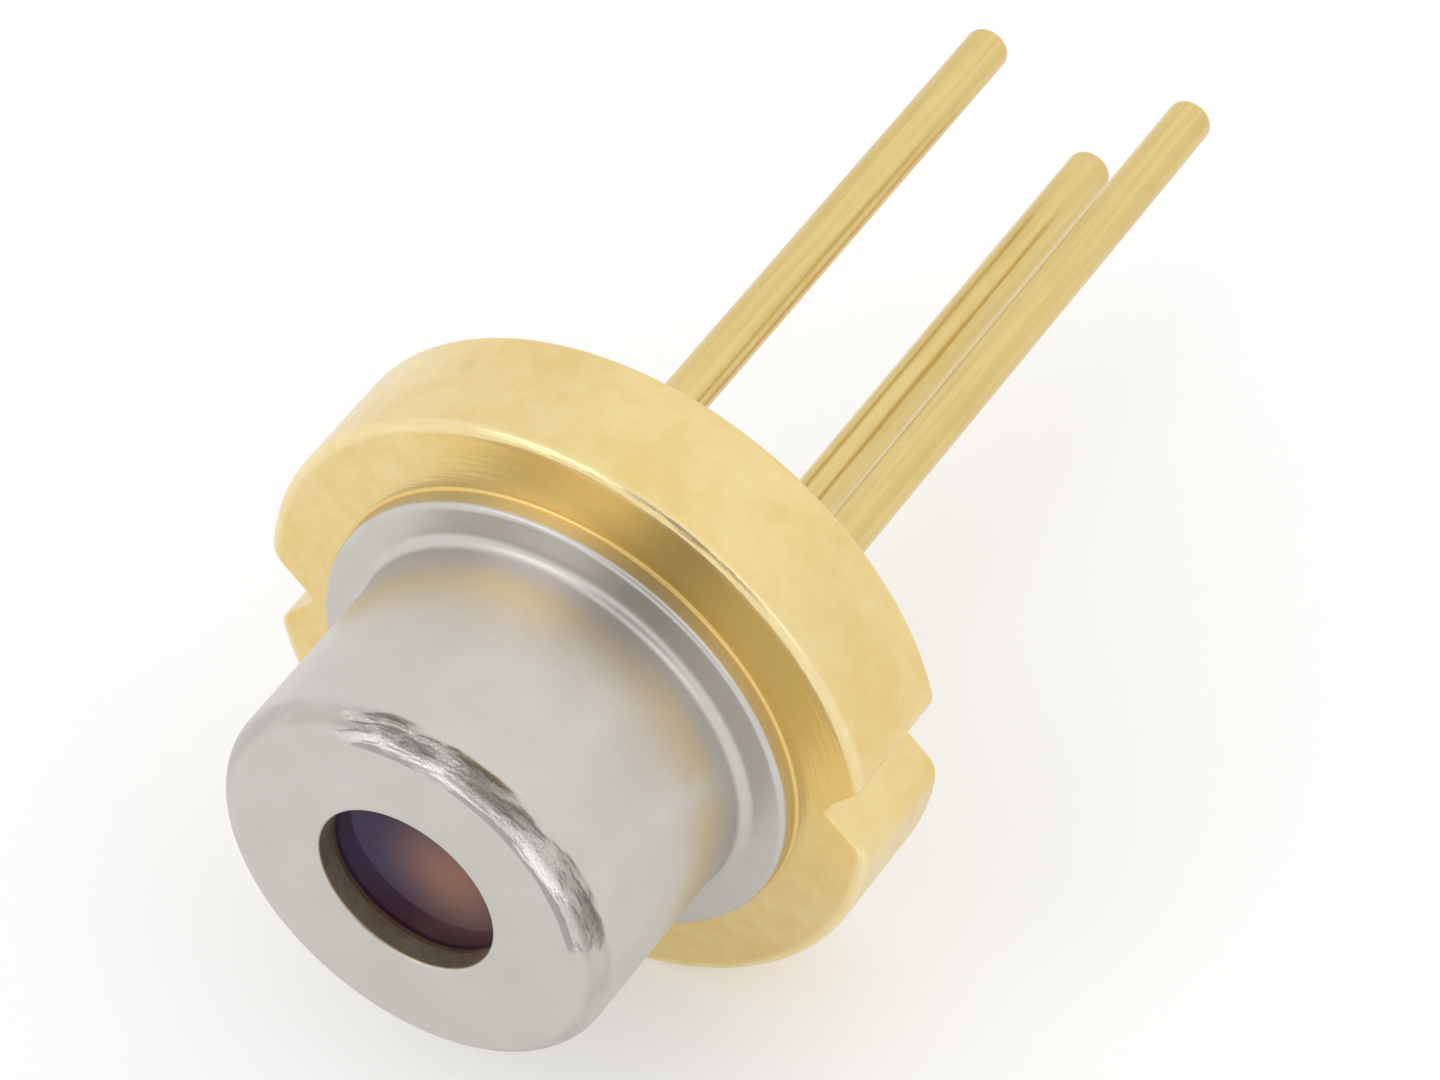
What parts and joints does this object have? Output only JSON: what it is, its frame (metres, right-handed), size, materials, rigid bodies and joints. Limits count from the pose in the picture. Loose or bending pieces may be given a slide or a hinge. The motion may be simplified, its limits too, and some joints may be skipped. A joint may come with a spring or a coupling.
{
  "type": "laser diode",
  "caption": "Can-type laser diode: gold-plated round stem with V notches and a key notch, straight leads behind, nickel cap with a coated window in front.",
  "frame": {"origin": "centre of the stem's front face, on the package's axis", "axes": "-Y is the beam and the side of the cap and window, +Y is the side of the leads, -Z is the side of the square key notch and of the case lead, X runs through the two V notches"},
  "size_m": [0.0056, 0.0109, 0.0056],
  "materials": {
    "stem_gold": "satin gold plate",
    "block_gold": "matt gold plate",
    "lead_gold": "bright gold plate",
    "wire_gold": "bright gold",
    "cap_nickel": "satin nickel plate",
    "solder": "dull solder",
    "bead_glass": "dark fired glass",
    "window_seal_glass": "dark brown fired glass",
    "window_coated_glass": "glass with a violet coating",
    "submount_ceramic": "matt ceramic with gold pads",
    "laser_crystal": "cleaved crystal",
    "photodiode_silicon": "coated silicon"
  },
  "bodies": {
    "root": {"stem": "stem_gold", "heat_sink_block": "block_gold", "glass_seal_laser": "bead_glass", "glass_seal_monitor": "bead_glass", "lead_laser": "lead_gold", "lead_monitor": "lead_gold", "lead_case": "lead_gold", "submount_solder": "solder", "submount": "submount_ceramic", "laser_chip": "laser_crystal", "photodiode_solder": "solder", "photodiode": "photodiode_silicon", "wire_laser": "wire_gold", "wire_ground": "wire_gold", "wire_monitor": "wire_gold", "cap": "cap_nickel", "window_seal": "window_seal_glass", "window_glass": "window_coated_glass"}
  },
  "joints": []
}
